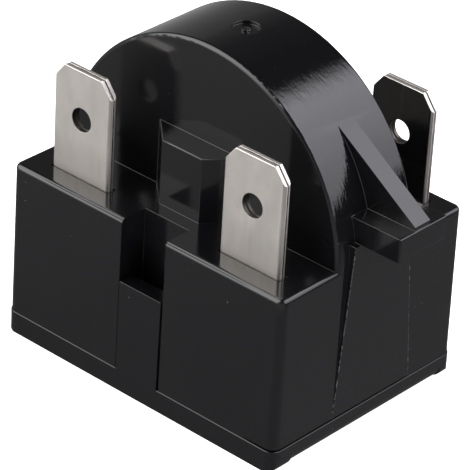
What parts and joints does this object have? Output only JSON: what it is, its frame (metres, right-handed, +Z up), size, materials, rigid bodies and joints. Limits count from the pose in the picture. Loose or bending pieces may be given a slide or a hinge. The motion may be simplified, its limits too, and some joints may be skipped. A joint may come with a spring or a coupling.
{
  "type": "compressor start relay",
  "caption": "Push-on start relay for a small refrigeration compressor, with a ceramic start pill in an arched drum, pin sockets underneath and quick-connect tabs on top",
  "frame": {"origin": "centre of the flat underside of the base cover", "axes": "+Z up out of the compressor, -Y the front with the notch and boss, +X the side with the ledge"},
  "size_m": [0.0341, 0.0224, 0.0302],
  "materials": {
    "casing_black": "glossy black moulding",
    "cover_black": "glossy black moulding",
    "tinned_brass": "tin plated, lightly brushed",
    "plain_brass": "plain",
    "spring_steel": "rolled stainless strip",
    "start_ceramic": "matt, silvered faces",
    "carrier_plastic": "natural moulding",
    "mica": "thin mica sheet"
  },
  "bodies": {
    "root": {"casing": "casing_black", "base_cover": "cover_black", "start_terminal": "tinned_brass", "run_terminal": "tinned_brass", "line_terminal": "tinned_brass", "run_link_strip": "plain_brass", "start_pin_socket": "plain_brass", "run_pin_socket": "plain_brass", "start_socket_clip": "spring_steel", "run_socket_clip": "spring_steel", "ptc_pill": "start_ceramic", "pill_carrier": "carrier_plastic", "front_contact_plate": "spring_steel", "rear_contact_plate": "spring_steel", "front_contact_spring": "spring_steel", "rear_contact_spring": "spring_steel", "front_insulating_sheet": "mica", "rear_insulating_sheet": "mica", "socket_rivets": "plain_brass", "link_rivets": "plain_brass"}
  },
  "joints": []
}
